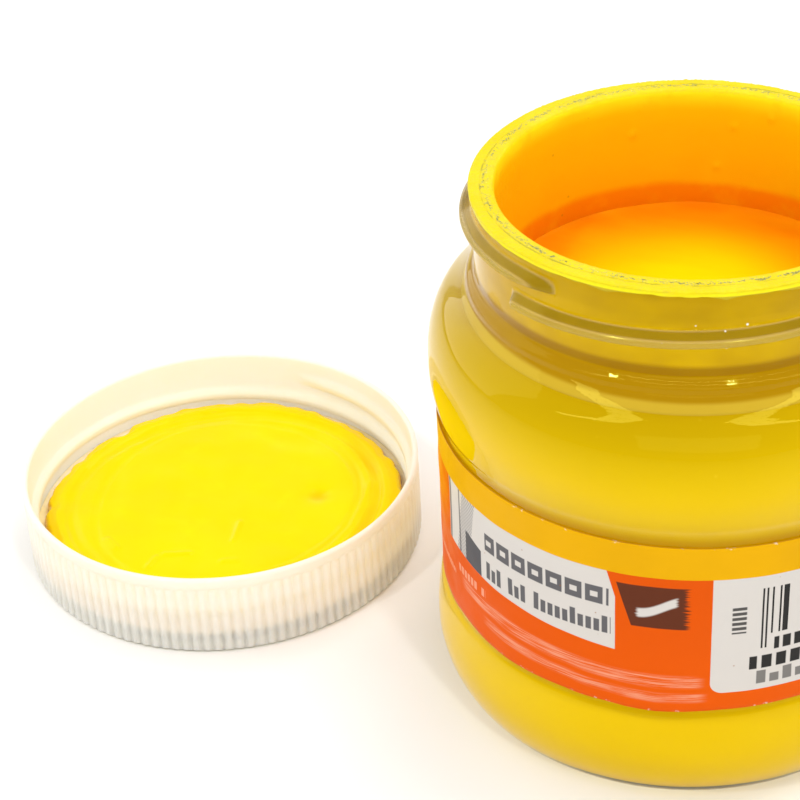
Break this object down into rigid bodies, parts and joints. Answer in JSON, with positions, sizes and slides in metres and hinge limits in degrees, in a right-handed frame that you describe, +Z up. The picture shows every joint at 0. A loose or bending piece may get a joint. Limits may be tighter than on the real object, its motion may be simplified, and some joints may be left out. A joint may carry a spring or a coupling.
{
  "type": "paint jar",
  "caption": "Open wide-mouth clear plastic jar of yellow paint with wrap label and threaded neck, its ribbed screw cap lying upside down beside it.",
  "frame": {"origin": "on the jar's axis at the surface that it stands on", "axes": "+Z up along the jar's axis; the cap lies towards -X; -Y is the front, where the label's printed panel is"},
  "size_m": [0.1502, 0.074, 0.082],
  "materials": {
    "clear_plastic": "clear heavy-wall moulded plastic, polished",
    "wet_paint": "wet yellow acrylic paint, smooth and glossy",
    "dried_paint": "dried yellow acrylic film, slightly rough",
    "seal_foil": "torn foil and paper under paint",
    "label_paper": "gloss printed label, yellow over orange with white panels",
    "cap_plastic": "white moulded polypropylene, satin",
    "liner_board": "faced board wad, paint stained",
    "cap_paint": "wet yellow acrylic paint, lumpy and glossy"
  },
  "bodies": {
    "jar": {"jar_body": "clear_plastic", "paint_fill": "wet_paint", "paint_film": "dried_paint", "seal_residue": "seal_foil", "wrap_label": "label_paper"},
    "cap_wad": {"cap_liner": "liner_board", "cap_paint_pool": "cap_paint"},
    "cap": {"cap_shell": "cap_plastic"}
  },
  "joints": [
    {"name": "cap_swing", "type": "hinge", "parent": "jar", "child": "cap_wad", "pos_m": [-0.0402, 0, 0.04995], "axis": [0, 1, 0], "range_deg": [0, 180]},
    {"name": "cap_turn", "type": "hinge", "parent": "cap_wad", "child": "cap", "pos_m": [-0.0804, 0, 0], "axis": [0, 0, 1], "continuous": true}
  ]
}
